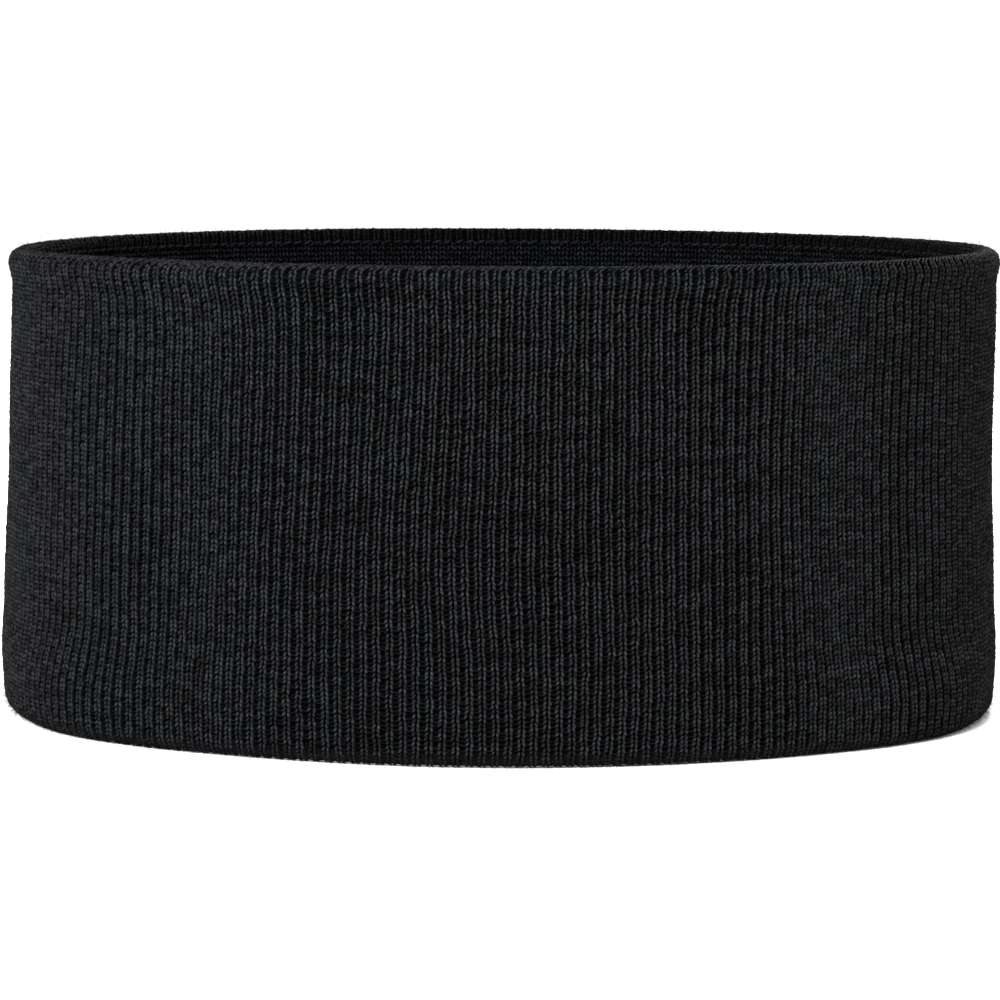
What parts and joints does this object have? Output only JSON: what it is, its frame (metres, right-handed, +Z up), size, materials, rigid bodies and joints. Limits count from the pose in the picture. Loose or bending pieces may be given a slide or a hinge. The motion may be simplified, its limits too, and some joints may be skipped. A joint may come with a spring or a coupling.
{
  "type": "sports headband",
  "caption": "Wide ring of fine black ribbed knit with folded rims, lined with a finer knit, with a blank care label that swings inside at the back.",
  "frame": {"origin": "centre of the ring on the plane that the lower rim stands on", "axes": "+Z up, from the lower rim to the upper rim; +X from temple to temple, towards the right of someone who looks at the brow side; -Y is the brow side and +Y the nape side"},
  "size_m": [0.199, 0.159, 0.092],
  "materials": {
    "rib_knit": "matte 1x1 ribbed knit, slightly fuzzy",
    "lining_knit": "matte fine knit",
    "seam_thread": "spun thread, soft sheen",
    "label_satin": "woven satin ribbon, blank"
  },
  "bodies": {
    "band": {"outer_band": "rib_knit", "inner_lining": "lining_knit", "top_link_seam": "seam_thread", "bottom_link_seam": "seam_thread", "outer_back_seam": "seam_thread", "lining_back_seam": "seam_thread", "label_stitch": "seam_thread"},
    "label": {"care_label": "label_satin"}
  },
  "joints": [
    {"name": "label_swing", "type": "hinge", "parent": "band", "child": "label", "pos_m": [0, 0.0735, 0.062], "axis": [-1, 0, 0], "range_deg": [0, 165]}
  ]
}
